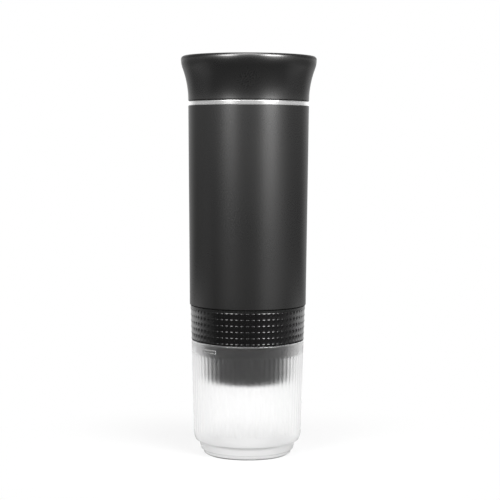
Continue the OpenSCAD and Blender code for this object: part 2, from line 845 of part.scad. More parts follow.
// Bezel of the charging port, with the cover's pocket and its pin holes
module port_bezel() {
    half_w = port_cover_w / 2;
    half_h = port_cover_h / 2;
    near = pocket_floor - bezel_depth;
    color([0.1, 0.1, 0.1])
        difference() {
            intersection() {
                back_box(port_cover_w + 2 * bezel_rim, near, shell_top_d,
                    z_port - half_h - bezel_rim, z_port + half_h + bezel_rim);
                shell_solid(controls_proud);
            }
            back_box(port_cover_w + 2 * fit, pocket_floor, shell_top_d + cut,
                z_port - half_h - fit, z_port + half_h + fit);
            back_box(usb_w + 2 * fit, near - cut, pocket_floor + cut,
                z_port - usb_h / 2 - fit, z_port + usb_h / 2 + fit);
            translate([-half_w - fit - pin_reach, hinge_y, hinge_z])
                rotate([0, 90, 0])
                    cylinder(r = pin_r + running_fit, h = port_cover_w + 2 * (fit + pin_reach));
        }
}

// Deck over the cells, under the tank
module upper_deck() {
    color([0.3, 0.3, 0.32]) tube(room_r, fitting_d / 2 + fit, z_upper_deck, z_tank);
}

// Steel water tank
module tank() {
    color("silver")
        difference() {
            rod(room_r, z_tank, z_collar);
            rod(room_r - tank_wall, z_tank + tank_wall, z_collar + cut);
            rod(fitting_d / 2 + running_fit, z_tank - cut, z_tank + tank_wall + cut);
        }
}

// Fitting through the tank's floor
module tank_fitting() {
    floor_top = z_tank + tank_wall;
    color("gainsboro")
        difference() {
            union() {
                rod(fitting_d / 2, z_tank - fitting_drop, floor_top + sheet_t / 2);
                rod(fitting_d / 2 + fitting_flange_w, floor_top, floor_top + sheet_t);
            }
            rod(fitting_bore / 2, z_tank - fitting_drop - cut, floor_top + sheet_t + cut);
        }
}

// Threaded mouth of the tank
module tank_collar() {
    color([0.25, 0.25, 0.27])
        union() {
            tube(tank_collar_r, lid_socket_r, z_collar, z_ring);
            thread_lugs(lid_socket_r + lug_sink, lid_spigot_r + lug_tip_gap, z_lid_lugs + lug_shift);
        }
}

// Bright ring on the shell's upper edge
module trim_ring() {
    color("gainsboro") tube(shell_top_d / 2 - ring_inset, tank_collar_r + fit, z_shell_top, z_ring);
}

// Shaft of the pump motor
module motor_shaft() {
    low = z_inner + pump_floor_t + plate_lift;
    color("silver") rod(shaft_d / 2, low, z_pump_top + shaft_in_motor);
}

// Eccentric plate that drives the pump's diaphragm
module wobble_plate() {
    low = z_inner + pump_floor_t + plate_lift;
    color("orange")
        difference() {
            rod(plate_r, low, low + plate_t, [plate_offset, 0]);
            rod(shaft_d / 2 + running_fit, low - cut, low + plate_t + cut);
        }
}

// Power button with the flange that keeps it behind its ring
module power_button() {
    color([0.15, 0.15, 0.15])
        union() {
            intersection() {
                back_rod(button_d / 2, button_back, shell_top_d, z_button);
                shell_solid(controls_proud);
            }
            back_rod(button_d / 2 + button_flange_w, button_back, button_back + button_flange_t, z_button);
        }
}

// Cover of the charging port, on a pin along its lower edge
module port_cover() {
    color([0.14, 0.14, 0.14])
        union() {
            intersection() {
                back_box(port_cover_w, cover_back, shell_top_d, hinge_z, z_port + port_cover_h / 2);
                shell_solid(controls_proud);
            }
            translate([-port_cover_w / 2, hinge_y, hinge_z])
                rotate([0, 90, 0]) cylinder(r = barrel_r, h = port_cover_w);
            translate([-port_cover_w / 2 - pin_reach, hinge_y, hinge_z])
                rotate([0, 90, 0]) cylinder(r = pin_r, h = port_cover_w + 2 * pin_reach);
        }
}

// Seal between the tank's mouth and the lid
module lid_gasket() {
    color("dimgray") seal(lid_spigot_r, z_ring);
}

// Flared lid with a rounded lip, a floor for the liner and a ledge for the top plate
module lid_shell() {
    base_r = shell_top_d / 2;
    flare = arc_points([base_r + flare_r, z_lid], flare_r, 180, 180 - flare_turn);
    side = arc_points([lid_lip_d / 2 - lip_side_r, z_lid_top - lip_r], lip_side_r, -flare_turn, 0);
    lip = arc_points([lip_centre_r, z_lid_top - lip_r], lip_r, 0, 90);
    z_ledge_low = z_lid_plate - lid_ledge_t;
    cavity = [
        for (i = [0 : arc_steps])
            let (z = z_ledge_low + (z_liner - z_ledge_low) * i / arc_steps)
            [base_r + lid_step(z - z_lid) - lid_wall, z]
    ];
    outside = concat([[seal_room(lid_spigot_r), z_lid]], flare, side, lip);
    inside = concat(
        [[lid_plate_r + fit, z_lid_top], [lid_plate_r + fit, z_lid_plate],
         [lid_plate_r - lid_ledge_w, z_lid_plate], [lid_plate_r - lid_ledge_w, z_ledge_low]],
        cavity,
        [[lid_spigot_r + fit, z_liner], [lid_spigot_r + fit, z_ring + gasket_t],
         [seal_room(lid_spigot_r), z_ring + gasket_t]]
    );
    color([0.13, 0.13, 0.13]) rotate_extrude() polygon(concat(outside, inside));
}

// Inner plug of the lid with the thread that screws into the tank's mouth
module lid_liner() {
    low = z_lid - spigot_h;
    color([0.16, 0.16, 0.17])
        difference() {
            union() {
                rod(lid_spigot_r, low, z_liner + liner_t / 2);
                rod(lid_spigot_r + liner_flange_w, z_liner, z_liner + liner_t);
                thread_lugs(lid_spigot_r - lug_sink, lid_socket_r - lug_tip_gap, z_lid_lugs);
            }
            rod(lid_spigot_r - spigot_wall, low - cut, z_liner);
            rod(valve_d / 2 + running_fit, z_liner - cut, z_liner + liner_t + cut);
        }
}

// Disc in the recess of the lid's top
module lid_plate() {
    color([0.1, 0.1, 0.1]) rod(lid_plate_r, z_lid_plate, z_lid_plate + lid_plate_t);
}

// Soft valve that lets air into the tank
module vent_valve() {
    color("gray")
        union() {
            rod(valve_cap_d / 2, z_liner - valve_cap_t, z_liner);
            rod(valve_d / 2, z_liner - valve_cap_t / 2, z_liner + liner_t + valve_cap_t / 2);
            rod(valve_head_d / 2, z_liner + liner_t, z_liner + liner_t + valve_cap_t);
        }
}

cup();
cup_gasket();
brew_head();
grip_sleeve();
outlet_shroud();
shroud_screw(0);  // shroud_screw_1
shroud_screw(1);  // shroud_screw_2
shroud_screw(2);  // shroud_screw_3
spout();
coffee_basket();
puck_screen();
head_gasket();
outer_shell();
base_collar();
shower_screen();
shower_screw();
boiler();
heater_ring();
thermostat();
feed_pipe();
lower_deck();
battery_cell(0);  // battery_cell_1
battery_cell(1);  // battery_cell_2
battery_cell(2);  // battery_cell_3
cell_strap(z_inner);  // cell_strap_bottom
cell_strap(z_cells_top);  // cell_strap_top
pump_head();
pump_motor();
suction_hose();
chassis_post(0);  // chassis_post_1
chassis_post(1);  // chassis_post_2
main_board();
usb_socket();
push_switch();
indicator_lights();
light_ring();
port_bezel();
upper_deck();
tank();
tank_fitting();
tank_collar();
trim_ring();
motor_shaft();
wobble_plate();
power_button();
port_cover();
lid_gasket();
lid_shell();
lid_liner();
lid_plate();
vent_valve();
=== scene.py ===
# %% [markdown]
# # A portable espresso maker
#
# This machine stands upright on one axis. From the floor up it is a clear ribbed cup, a gloss grip band
# with small studs, a matt tapered body, a thin bright ring and a flared lid. The solids come packed with
# their joints, and they are the frame that every surface here has to fit. The round pieces that the eye
# rests on are drawn again as smooth surfaces, and the rest keeps its solid and gets a finish.

# %% Load the frame
import json
import math

import bpy
import numpy as np
from mathutils import Matrix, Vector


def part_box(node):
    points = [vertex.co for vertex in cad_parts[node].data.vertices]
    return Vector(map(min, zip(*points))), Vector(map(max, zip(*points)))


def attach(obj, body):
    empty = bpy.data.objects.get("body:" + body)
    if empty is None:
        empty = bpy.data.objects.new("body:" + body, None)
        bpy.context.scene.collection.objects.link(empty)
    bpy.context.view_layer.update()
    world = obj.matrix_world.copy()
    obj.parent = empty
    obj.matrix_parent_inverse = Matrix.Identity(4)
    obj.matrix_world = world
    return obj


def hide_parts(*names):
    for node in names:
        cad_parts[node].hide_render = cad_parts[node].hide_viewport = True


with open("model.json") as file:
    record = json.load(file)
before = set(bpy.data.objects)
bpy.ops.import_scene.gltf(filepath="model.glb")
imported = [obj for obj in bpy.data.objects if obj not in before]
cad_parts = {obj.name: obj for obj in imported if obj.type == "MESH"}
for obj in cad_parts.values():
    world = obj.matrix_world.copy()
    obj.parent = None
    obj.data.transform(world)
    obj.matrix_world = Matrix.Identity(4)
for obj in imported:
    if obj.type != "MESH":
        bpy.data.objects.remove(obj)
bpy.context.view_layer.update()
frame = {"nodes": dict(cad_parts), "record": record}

mm = 0.001

# %% [markdown]
# ## One builder for every closed surface
#
# A lid, a ring and a cup are all stacks of rings: points run round each ring, and neighbouring rings are
# joined by four-sided faces. They could be modelled by spinning a curve with a modifier, but whole arrays
# give exact control over relief such as ribs. A tube-like piece joins its last ring to its first, and a
# piece that reaches the axis is closed by a fan of triangles round one point at each end.

# %% Join rings of points into a mesh
def ring_mesh(name, rings, poles=None):
    """Closed surface through rings[i, j], point j of ring i.

    Face (i, j) has the corners (i, j), (i, j+1), (i+1, j+1), (i+1, j), with j wrapping round. Without
    poles i wraps too. Two poles close the first and the last ring with triangles."""
    count, steps = rings.shape[:2]
    index = np.arange(count * steps).reshape(count, steps)
    beside = np.roll(index, -1, axis=1)
    low, low_beside = (index[:-1], beside[:-1]) if poles is not None else (index, beside)
    high, high_beside = ((index[1:], beside[1:]) if poles is not None
                         else (np.roll(index, -1, axis=0), np.roll(beside, -1, axis=0)))
    faces = np.stack([low, low_beside, high_beside, high], axis=-1).reshape(-1, 4).tolist()
    points = rings.reshape(-1, 3)
    if poles is not None:
        first, last = np.full(steps, len(points)), np.full(steps, len(points) + 1)
        faces += np.stack([beside[0], index[0], first], axis=-1).tolist()
        faces += np.stack([index[-1], beside[-1], last], axis=-1).tolist()
        points = np.vstack([points, poles])
    mesh = bpy.data.meshes.new(name)
    mesh.from_pydata(points.tolist(), [], faces)
    mesh.shade_smooth()
    piece = bpy.data.objects.new(name, mesh)
    bpy.context.collection.objects.link(piece)
    print(name, "has", len(points), "points and", len(faces), "faces")
    return piece

# %% [markdown]
# ## Rounded profiles
#
# Real moulded and turned edges are never knife sharp, and it is the small rounding that catches the
# light. The profile of each round piece is a list of corners with a radius each. A Bevel modifier could
# round the edges afterwards, but arcs in the profile cost nothing and stay even all the way round.

# %% Draw the corners of a profile as arcs
same = 1e-7  # metres: points nearer than this are one point


def rounded(corners, steps=4, hold=0.3 * mm, share=0.3):
    """Closed profile from corners (radius, height, rounding), listed with the outside going up.

    An arc's centre lies on its corner's bisector, rounding / sin(half the angle) away, and the arc
    touches both edges rounding / tan(half the angle) from the corner. One point more on either side of
    an arc, hold away but within a share of the free edge, keeps the faces beside it flat under smooth
    shading. A rounding of 0 keeps the bare corner."""
    corners = np.array(corners, float)
    corner, rounding = corners[:, :2], corners[:, 2]
    back, ahead = np.roll(corner, 1, axis=0) - corner, np.roll(corner, -1, axis=0) - corner
    back_length, ahead_length = np.linalg.norm(back, axis=1), np.linalg.norm(ahead, axis=1)
    back, ahead = back / back_length[:, None], ahead / ahead_length[:, None]
    half = np.arccos(np.clip((back * ahead).sum(axis=1), -1, 1)) / 2
    reach = rounding / np.tan(half)
    bisector = back + ahead
    bisector /= np.maximum(np.linalg.norm(bisector, axis=1), same)[:, None]
    centre = corner + bisector * (rounding / np.sin(half))[:, None]
    start, end = corner + back * reach[:, None] - centre, corner + ahead * reach[:, None] - centre
    angle = np.arctan2(start[:, 1], start[:, 0])
    turn = np.arctan2(end[:, 1], end[:, 0]) - angle
    turn = (turn + math.pi) % (2 * math.pi) - math.pi
    sweep = angle[:, None] + turn[:, None] * np.linspace(0, 1, steps + 1)
    arc = centre[:, None] + rounding[:, None, None] * np.stack([np.cos(sweep), np.sin(sweep)], axis=-1)
    free_back = back_length - reach - np.roll(reach, 1)
    free_ahead = ahead_length - reach - np.roll(reach, -1)
    held = (rounding > 0)[:, None]
    before = corner + back * (reach[:, None] + held * np.minimum(hold, free_back * share)[:, None])
    after = corner + ahead * (reach[:, None] + held * np.minimum(hold, free_ahead * share)[:, None])
    profile = np.concatenate([before[:, None], arc, after[:, None]], axis=1).reshape(-1, 2)
    gap = np.linalg.norm(profile - np.roll(profile, 1, axis=0), axis=1)
    return profile[gap > same]

# %% Points for a profile
def on_circle(centre, radius, angles):
    """Points of a circle: centre + radius (cos angle, sin angle)."""
    return np.array(centre) + radius * np.stack([np.cos(angles), np.sin(angles)], axis=-1)


def bare(radius, level):
    """Corners without rounding for rounded(), from arrays of radii and levels."""
    return np.stack([radius, level, np.zeros_like(level)], axis=-1)

# %% [markdown]
# Turning the profile about the axis gives the rings for the builder. Ribs and studs come in as relief, an
# amount added to the radius of every point, so that a plain piece and a ribbed one are made in one way.

# %% Turn a profile about the axis
def lathe(name, profile, steps=256, relief=None):
    """Surface of revolution: profile point i at the angle t lies at (r cos t, r sin t, z).

    relief[i, j], where given, is added to the radius of point i at angle j. A profile that starts and
    ends on the axis is closed by poles there."""
    on_axis = profile[:, 0] < same
    around = np.arange(steps) * 2 * math.pi / steps
    body = profile[~on_axis]
    radius = np.repeat(body[:, :1], steps, axis=1)
    if relief is not None:
        radius = radius + relief[~on_axis]
    rings = np.stack([radius * np.cos(around), radius * np.sin(around),
                      np.repeat(body[:, 1:], steps, axis=1)], axis=-1)
    poles = [[0, 0, level] for level in profile[on_axis, 1]] if on_axis.any() else None
    return ring_mesh(name, rings, poles)

# %% [markdown]
# ## Writing finishes as expressions
#
# A finish is a small program of shader nodes. Wiring them one by one hides the idea, so one class wraps
# a socket and lets plus, minus, times and powers add the Math nodes. Every other node comes from its one
# method, which takes the node's type, its settings and what goes into its sockets.

# %% A socket that does arithmetic
class Sock:
    """An output in a node tree. Arithmetic on it adds Math nodes; node() adds any other node."""

    def __init__(self, tree, socket=None):
        self.tree, self.socket = tree, socket

    def node(self, kind, settings=None, inputs=None, out=0):
        new = self.tree.nodes.new(kind)
        for key, value in (settings or {}).items():
            setattr(new, key, value)
        for key, value in (inputs or {}).items():
            if isinstance(value, Sock):
                self.tree.links.new(value.socket, new.inputs[key])
            else:
                new.inputs[key].default_value = value
        return Sock(self.tree, new.outputs[out])

    def other(self, out):
        return Sock(self.tree, self.socket.node.outputs[out])

    def math(self, operation, a, b=0.0):
        return self.node("ShaderNodeMath", {"operation": operation}, {0: a, 1: b})

    def __add__(self, other):
        return self.math("ADD", self, other)

    def __sub__(self, other):
        return self.math("SUBTRACT", self, other)

    def __rsub__(self, other):
        return self.math("SUBTRACT", other, self)

    def __mul__(self, other):
        return self.math("MULTIPLY", self, other)

    def __pow__(self, other):
        return self.math("POWER", self, other)

    __radd__, __rmul__ = __add__, __mul__

# %% [markdown]
# A few short functions say the rest: one starts a material, one links what varies, and the others make
# noise, blends of colour, relief and smooth steps.

# %% Start a material and feed it
def finish(name, **settled):
    """New material and the object's own coordinates; what is the same all over goes on the shader."""
    material = bpy.data.materials.new(name)
    material.use_nodes = True
    shader = material.node_tree.nodes["Principled BSDF"]
    for key, value in settled.items():
        shader.inputs[key.replace("_", " ")].default_value = value
    print("new finish:", name)
    return material, Sock(material.node_tree).node("ShaderNodeTexCoord", out="Object")


def feed(material, **varying):
    """Link what changes over the surface to the shader's sockets."""
    shader = material.node_tree.nodes["Principled BSDF"]
    for key, sock in varying.items():
        material.node_tree.links.new(sock.socket, shader.inputs[key.replace("_", " ")])
    return material

# %% Words for what varies over a surface
def grain(place, size, detail=2.0, stretch=(1, 1, 1)):
    """Soft noise from 0 to 1 whose spots are about size metres across, drawn out by stretch."""
    moved = place.node("ShaderNodeMapping", {}, {"Vector": place, "Scale": stretch})
    return place.node("ShaderNodeTexNoise", {}, {"Vector": moved, "Scale": 1 / size, "Detail": detail})


def shades(amount, dark, light):
    """Colour that goes from dark to light as amount goes from 0 to 1."""
    return amount.node("ShaderNodeMix", {"data_type": "RGBA"},
                       {0: amount, 6: (*dark, 1), 7: (*light, 1)}, out=2)


def dents(height, depth, strength):
    """Normal of a surface whose small relief is height times depth metres."""
    return height.node("ShaderNodeBump", {}, {"Height": height, "Distance": depth, "Strength": strength})


def axes(place):
    """The three coordinates of a place, one by one."""
    x = place.node("ShaderNodeSeparateXYZ", {}, {0: place})
    return x, x.other(1), x.other(2)


def between(value, low, high, step="SMOOTHSTEP"):
    """0 below low, 1 above high, and a smooth or a LINEAR step from one to the other."""
    return value.node("ShaderNodeMapRange", {"interpolation_type": step},
                      {"Value": value, "From Min": low, "From Max": high})


def grey(value, warm=0.0):
    """A near-neutral colour, a touch warmer or cooler."""
    return (value * (1 + warm), value, value * (1 - warm))

# %% [markdown]
# ## Settling a piece
#
# Each new piece takes the place of one or more solids. It rides on the body that carries them, so it
# moves with the right joint, and it wears the finish that it is given.

# %% Put a piece on its body
def settle(piece, body, slot, material, *solids):
    """The piece stands for the solids, rides on the body and wears the material."""
    piece.data.materials.append(material)
    if solids:
        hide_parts(*solids)
    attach(piece, body)
    print(piece.name, "rides on", body, "in", material.name)


def sizes(node):
    """Largest radius, lowest and highest level of a round solid about the axis."""
    low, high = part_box(node)
    return max(high[0], high[1]), low[2], high[2]

# %% [markdown]
# ## Lid
#
# The lid is a moulded cap that leaves the ring straight up and flares outwards to a round lip. Its side
# is one large arc that starts upright and runs without a kink into a tighter arc that stands upright
# again at the lip, so the two turn by the same angle. Arcs are written straight into the profile, since a
# subdivided cage would only come near to them. The top is a shallow recess with a loose disc.

# %% The curve of the lid's side
lid_r, lid_low, lid_high = sizes("lid_shell")
body_r, body_low, body_high = sizes("outer_shell")
disc_r, disc_low, disc_high = sizes("lid_plate")
liner_r = sizes("lid_liner")[0]
lip_r, side_arc_r = 2.0 * mm, 15.4 * mm
overhang, rise = lid_r - body_r, lid_high - lip_r - lid_low
flare_r = (rise ** 2 / overhang + overhang) / 2 - side_arc_r
flare_turn = math.asin(rise / (flare_r + side_arc_r))


def flare(level, inset=0.0):
    """Radius of the lid's side at a level: below the bend an arc about a far centre outside, above it an
    arc about a near centre inside."""
    up = level - lid_low
    below = flare_r - np.sqrt(flare_r ** 2 - up ** 2)
    above = overhang - side_arc_r + np.sqrt(np.maximum(side_arc_r ** 2 - (rise - up) ** 2, 0))
    return body_r + np.where(up < flare_r * math.sin(flare_turn), below, above) - inset


print("flare of", round(flare_r / mm, 1), "mm radius turns", round(math.degrees(flare_turn), 1), "degrees")

# %% The cap's profile
lip_sweep = math.pi / 2 * 0.98  # stops just short of level, so that the top edge follows on
edge_clear, lip_clear = 1.2 * mm, 0.4 * mm
lid_wall, liner_gap, disc_gap = 2.2 * mm, 0.1 * mm, 0.3 * mm
ledge_w, ledge_h = 2.0 * mm, 1.6 * mm
mouth_w, mouth_h, floor_h = 3.1 * mm, 0.9 * mm, 3.2 * mm
lip = on_circle([lid_r - lip_r, lid_high - lip_r], lip_r, np.linspace(0, lip_sweep, 12))
flare_levels = np.linspace(lid_low + edge_clear, lid_high - lip_r - lip_clear, 40)
recess_r, liner_out, mouth_r = disc_r + disc_gap, liner_r + liner_gap, liner_r - mouth_w
ledge_low, floor_top = disc_low - ledge_h, lid_low + floor_h
cavity_levels = np.linspace(ledge_low, floor_top, 12)
cap_profile = rounded(np.vstack([
    [[liner_out, lid_low, 0.2 * mm], [body_r, lid_low, 0.35 * mm]],
    bare(flare(flare_levels), flare_levels),
    bare(lip[:, 0], lip[:, 1]),
    [[recess_r, lid_high, 0.3 * mm], [recess_r, disc_low, 0.1 * mm],
     [disc_r - ledge_w, disc_low, 0.2 * mm], [disc_r - ledge_w, ledge_low, 0.2 * mm]],
    bare(flare(cavity_levels, lid_wall), cavity_levels),
    [[mouth_r, floor_top, 0.2 * mm], [mouth_r, lid_low + mouth_h, 0.2 * mm],
     [liner_out, lid_low + mouth_h, 0.2 * mm]],
]))
print("cap profile of", len(cap_profile), "points")

# %% [markdown]
# Satin paint on the lid behaves like a very dark metal: it mirrors the room softly and has hardly any
# colour of its own. A slow noise shifts its tone, and a fine one roughens it.

# %% The lid's satin finish
satin_edge = (0.6, 0.6, 0.6, 1)
lid_satin, at = finish("lid satin black", Metallic=1.0, Specular_Tint=satin_edge)
lid_slow, lid_fine = grain(at, 18 * mm), grain(at, 0.35 * mm, 3)
feed(lid_satin,
     Base_Color=shades(lid_slow, grey(0.129), grey(0.147, 0.01)),
     Roughness=0.23 + lid_fine * 0.05 + lid_slow * 0.03,
     Normal=dents(lid_fine, 0.010 * mm, 0.4))
settle(lathe("lid_cap", cap_profile, 288), "lid", "lid_black", lid_satin, "lid_shell")

# %% [markdown]
# The disc in the recess is a turned plate, so its finish carries fine rings about the axis. It could be a
# flat circle, but a rounded rim and a shallow dish give it a live edge from above.

# %% The disc in the lid's top
rim_w, rim_fall, slope_w, dish_fall = 3.0 * mm, 0.05 * mm, 4.2 * mm, 0.45 * mm
disc_corners = [[0, disc_low, 0], [disc_r, disc_low, 0.2 * mm], [disc_r, disc_high, 0.45 * mm],
                [disc_r - rim_w, disc_high - rim_fall, 0.6 * mm],
                [disc_r - slope_w, disc_high - dish_fall, 0.6 * mm],
                [0, disc_high - dish_fall, 0]]
disc_matt, at = finish("lid disc matt black", IOR=1.45, Specular_IOR_Level=0.15)
x, y, _ = axes(at)
disc_rings_per_metre = 2600
turned = at.node("ShaderNodeTexNoise", {"noise_dimensions": "1D"},
                 {"W": (x * x + y * y) ** 0.5, "Scale": disc_rings_per_metre, "Detail": 2})
disc_fine = grain(at, 0.4 * mm, 2)
feed(disc_matt,
     Base_Color=shades(grain(at, 14 * mm), grey(0.017), grey(0.024, 0.01)),
     Roughness=0.52 + disc_fine * 0.08 + turned * 0.08,
     Normal=dents(turned + disc_fine * 0.5, 0.008 * mm, 0.5))
settle(lathe("lid_disc", rounded(disc_corners), 288), "lid", "lid_disc", disc_matt, "lid_plate")

# %% [markdown]
# ## Bright ring
#
# A thin ring of satin metal parts the lid from the body. It was turned on a lathe, so faint lines run
# round it and its two edges are broken by a small rounding. The lines are noise that is long round the
# axis and very fine along it; a texture picture would do the same, but would not stay sharp close up.

# %% The ring and its turned metal
ring_r, ring_low, ring_high = sizes("trim_ring")
ring_bore = sizes("tank_collar")[0] + 0.3 * mm
ring_corners = [[ring_bore, ring_low, 0.15 * mm], [ring_r, ring_low, 0.25 * mm],
                [ring_r, ring_high, 0.35 * mm], [ring_bore, ring_high, 0.2 * mm]]
ring_metal, at = finish("turned bright ring", Metallic=0.85)
x, y, z = axes(at)
lines_per_radian, lines_per_metre = 1.5, 9000.0
round_about = at.math("ARCTAN2", y, x)
along = at.node("ShaderNodeCombineXYZ", {}, {0: round_about * lines_per_radian, 1: z * lines_per_metre})
lines = at.node("ShaderNodeTexNoise", {}, {"Vector": along, "Scale": 1.0, "Detail": 3})
ring_slow = grain(at, 9 * mm)
feed(ring_metal,
     Base_Color=shades(lines, grey(0.80, 0.005), grey(0.86)),
     Roughness=0.13 + lines * 0.06 + ring_slow * 0.04,
     Normal=dents(lines, 0.004 * mm, 0.35))
settle(lathe("bright_ring", rounded(ring_corners), 288), "housing", "ring", ring_metal, "trim_ring")

# %% [markdown]
# ## Studded grip band
#
# The band under the body is a gloss sleeve with 68 columns and six rows of small studs that stop a wet
# hand from slipping. Separate domes could be scattered over it, but the studs are moulded in one with
# the sleeve, so here they are relief on its outer wall: a short bar with a flat top sideways that falls
# off as a squared cosine both ways, repeated round and up. The wall's levels crowd together where the
# studs are and leave the plain strips between them empty.

# %% The band's profile
sleeve_r, sleeve_low, sleeve_high = sizes("grip_sleeve")
sleeve_low_r = sizes("cup")[0]
seal_r, _, seal_high = sizes("cup_gasket")
stud_columns, stud_rows, per_stud = 68, 6, 12
stud_pitch, stud_first = 3.62 * mm, 69.95 * mm
stud_half_w, stud_flat_w, stud_half_h, stud_height = 1.05 * mm, 0.45 * mm, 0.40 * mm, 0.19 * mm
bore_r, wall_inset = sleeve_low_r - 1.45 * mm, 0.04 * mm
seal_out = seal_r + 0.3 * mm
wall_slope = (sleeve_r - sleeve_low_r) / (sleeve_high - sleeve_low)
stud_levels = stud_first + stud_pitch * np.arange(stud_rows)
stud_reach = 1.04  # levels run a little past each stud, so that it ends on the plain wall
wall_levels = (stud_levels[:, None] + stud_half_h * np.linspace(-stud_reach, stud_reach, 11)).ravel()
sleeve_profile = rounded(np.vstack([
    [[seal_out, sleeve_low, 0.1 * mm], [sleeve_low_r - 0.05 * mm, sleeve_low, 0.08 * mm]],
    bare(sleeve_low_r - wall_inset + wall_slope * (wall_levels - sleeve_low), wall_levels),
    [[sleeve_r - 0.1 * mm, sleeve_high, 0.05 * mm], [bore_r, sleeve_high, 0.1 * mm],
     [bore_r, seal_high, 0.1 * mm], [seal_out, seal_high, 0.1 * mm]],
]))
print("band profile of", len(sleeve_profile), "points")

# %% Relief of the studs
def hill(distance, half, flat=0.0):
    """1 up to flat on either side of 0, then a squared cosine that reaches 0 at half and stays there."""
    slope = np.clip((np.abs(distance) - flat) / (half - flat), 0, 1)
    return np.cos(slope * math.pi / 2) ** 2


sleeve_steps = stud_columns * per_stud
around = np.arange(sleeve_steps) * 2 * math.pi / sleeve_steps
column = (around * stud_columns / (2 * math.pi) + 0.5) % 1 - 0.5
across = column * 2 * math.pi / stud_columns * sleeve_r
level = sleeve_profile[:, 1]
row = np.clip(np.round((level - stud_first) / stud_pitch), 0, stud_rows - 1)
up = level - stud_first - row * stud_pitch
on_wall = sleeve_profile[:, 0] > sleeve_low_r - 0.4 * mm
studs = stud_height * np.outer(hill(up, stud_half_h) * on_wall, hill(across, stud_half_w, stud_flat_w))
print(stud_columns * stud_rows, "studs of", stud_height / mm, "mm relief")

# %% [markdown]
# The sleeve is black gloss plastic. Fingers leave faint smears on it, so its roughness drifts in soft
# patches, and that alone keeps large reflections from looking like a mirror.

# %% The gloss finish of the band
band_gloss, at = finish("band gloss black", IOR=1.75)
smears, band_fine = grain(at, 11 * mm, 3), grain(at, 0.6 * mm, 2)
feed(band_gloss,
     Base_Color=shades(smears, grey(0.0012), grey(0.002)),
     Roughness=0.13 + smears * 0.08 + band_fine * 0.02,
     Normal=dents(band_fine, 0.004 * mm, 0.2))
settle(lathe("grip_band", sleeve_profile, sleeve_steps, studs), "brew_head", "grip_black", band_gloss,
       "grip_sleeve")

# %% [markdown]
# ## Ribbed cup
#
# The cup is clear plastic with fine upright ribs outside, a smooth band under its rim and a stepped foot.
# Ribs bend what lies behind into stripes, so they have to be real relief: a bump map would not refract.
# The outer wall follows a cosine wave round the axis that fades out at both ends of the ribs. The inside
# is smooth, with a large round corner at the floor.

# %% Profile of the cup
cup_r, cup_low, cup_high = sizes("cup")
shoulder_side_r, socket_r = cup_r - 1.4 * mm, cup_r - 2.5 * mm
shoulder_r, shoulder_level, shoulder_end = 10 * mm, 13 * mm, math.asin(0.48)
shoulder = on_circle([shoulder_side_r - shoulder_r, shoulder_level], shoulder_r,
                     np.linspace(-shoulder_end, -0.05, 8))
floor_level, corner_r, inner_side_r = 4.5 * mm, 7.825 * mm, shoulder_side_r - 3.3 * mm
inner_corner = on_circle([inner_side_r - corner_r, floor_level + corner_r], corner_r,
                         np.linspace(0, -math.pi / 2, 10))
socket_low = 59.2 * mm
# Levels of the outer side, close together where the ribs begin and end.
side_levels = np.concatenate([np.linspace(13, 16, 8), np.linspace(19, 59, 9), np.linspace(60, 63.4, 9),
                              [65, 66.6]]) * mm
# Corners of the foot: how far inside the shoulder's side, level and rounding, in millimetres.
foot = np.array([[6.5, 0.0, 0.9], [5.5, 2.0, 0.3], [4.65, 2.4, 0.35], [3.7, 5.8, 0.5], [4.4, 8.0, 0.35]]) * mm
foot[:, 0] = shoulder_side_r - foot[:, 0]


def side_r(level):
    """Radius of the cup's plain side: a straight line from the shoulder up to the rim."""
    share = (level - shoulder_level) / (cup_high - shoulder_level)
    return shoulder_side_r + (cup_r - shoulder_side_r) * share


cup_profile = rounded(np.vstack([
    [[0, cup_low, 0]], foot,
    bare(shoulder[:, 0], shoulder[:, 1]),
    bare(side_r(side_levels), side_levels),
    [[cup_r, cup_high, 0.6 * mm], [socket_r, cup_high, 0.4 * mm], [socket_r, socket_low, 0.6 * mm]],
    bare(inner_corner[:, 0], inner_corner[:, 1]),
    [[0, floor_level, 0]],
]))
print("cup profile of", len(cup_profile), "points")

# %% Ribs of the cup
rib_count, per_rib = 68, 10
rib_low, rib_high, rib_fade, rib_depth = 13.5 * mm, 61.9 * mm, 1.2 * mm, 0.30 * mm
level = cup_profile[:, 1]
ribbed = np.clip((level - rib_low) / rib_fade, 0, 1) * np.clip((rib_high - level) / rib_fade, 0, 1)
ribbed = ribbed * ribbed * (3 - 2 * ribbed) * (cup_profile[:, 0] > socket_r + 0.2 * mm)
cup_steps = rib_count * per_rib
wave = 0.5 - 0.5 * np.cos(np.arange(cup_steps) * 2 * math.pi / per_rib)
ribs = -rib_depth * np.outer(ribbed, wave)
cup = lathe("ribbed_cup", cup_profile, cup_steps, ribs)
print(rib_count, "ribs from", rib_low / mm, "to", rib_high / mm, "mm")
